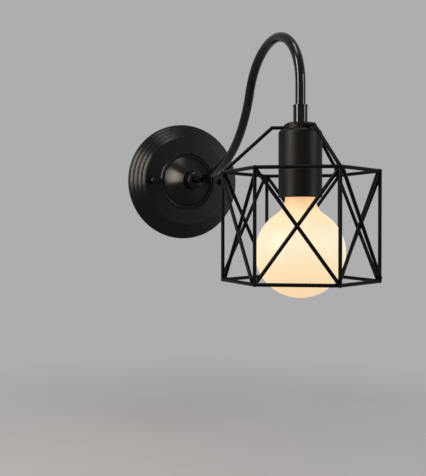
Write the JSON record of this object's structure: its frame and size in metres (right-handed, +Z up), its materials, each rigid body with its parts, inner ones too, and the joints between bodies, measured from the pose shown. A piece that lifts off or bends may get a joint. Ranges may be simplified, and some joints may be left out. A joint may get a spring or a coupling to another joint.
{
  "type": "cage wall light",
  "caption": "Wall light with a stepped round wall plate, a gooseneck tube arm and a hexagonal wire cage hanging round a globe bulb.",
  "frame": {"origin": "middle of the wall plate on the wall, which is the middle of the bracket's two wall screw slots at its back face", "axes": "-Y out of the wall, +Z up, +X to the right when facing the wall"},
  "size_m": [0.141, 0.3847, 0.2441],
  "materials": {
    "black_paint": "satin",
    "black_wire": "satin",
    "zinc_steel": "satin",
    "brass": "satin",
    "ceramic": "glazed",
    "block_plastic": "matte",
    "live_core": "matte",
    "neutral_core": "matte",
    "earth_core": "matte",
    "opal_glass": "opal",
    "clear_glass": "polished",
    "cap_metal": "satin",
    "black_glass": "gloss",
    "phosphor": "matte",
    "board": "satin"
  },
  "bodies": {
    "fixed_frame": {"wall_plate": "black_paint", "wall_bracket": "zinc_steel", "plate_studs": "zinc_steel", "stud_nuts": "zinc_steel", "cap_washers": "black_paint", "cap_nuts": "black_paint", "collar_ring": "black_paint", "arm_collar": "black_paint", "collar_screw": "zinc_steel", "arm_washer": "zinc_steel", "arm_lock_washer": "zinc_steel", "arm_lock_nut": "zinc_steel", "wire_bush": "block_plastic", "gooseneck_arm": "black_paint", "terminal_block": "block_plastic", "terminal_tubes": "brass", "terminal_clamp_screws": "zinc_steel", "block_screw": "zinc_steel", "bracket_earth_screw": "brass", "live_wire": "live_core", "neutral_wire": "neutral_core", "earth_wire": "earth_core", "sleeve": "black_paint", "threaded_rod": "zinc_steel", "clamp_washer": "black_paint", "socket_cover": "black_paint", "cover_lock_washer": "zinc_steel", "cover_nut": "zinc_steel", "holder_bridge": "zinc_steel", "bridge_nut": "zinc_steel", "bridge_screws": "zinc_steel", "bridge_earth_screw": "brass", "lampholder_body": "ceramic", "threaded_shell": "brass", "centre_contact": "brass", "shell_contact": "brass", "contact_screws": "zinc_steel"},
    "cage": {"cage_hub": "black_wire", "roof_wires": "black_wire", "top_ring": "black_wire", "bottom_ring": "black_wire", "corner_posts": "black_wire", "outer_lattice": "black_wire", "inner_lattice": "black_wire"},
    "bulb_tip": {"cap_insulator": "black_glass", "cap_contact": "cap_metal"},
    "bulb": {"bulb_glass": "opal_glass", "bulb_cap": "cap_metal", "bulb_stem": "clear_glass", "led_filaments": "phosphor", "driver_board": "board"}
  },
  "joints": [
    {"name": "cage_turn", "type": "hinge", "parent": "fixed_frame", "child": "cage", "pos_m": [0, -0.31376, 0], "axis": [0, 0, 1], "continuous": true},
    {"name": "bulb_travel", "type": "slide", "parent": "fixed_frame", "child": "bulb_tip", "axis": [0, 0, -1], "range_m": [0, 0.01815]},
    {"name": "bulb_turn", "type": "hinge", "parent": "bulb_tip", "child": "bulb", "pos_m": [0, -0.31376, 0], "axis": [0, 0, -1], "range_deg": [0, 1800]}
  ],
  "couplings": [
    {"joint": "bulb_travel", "follows": "bulb_turn", "m_per_rad": 0.00057757}
  ]
}
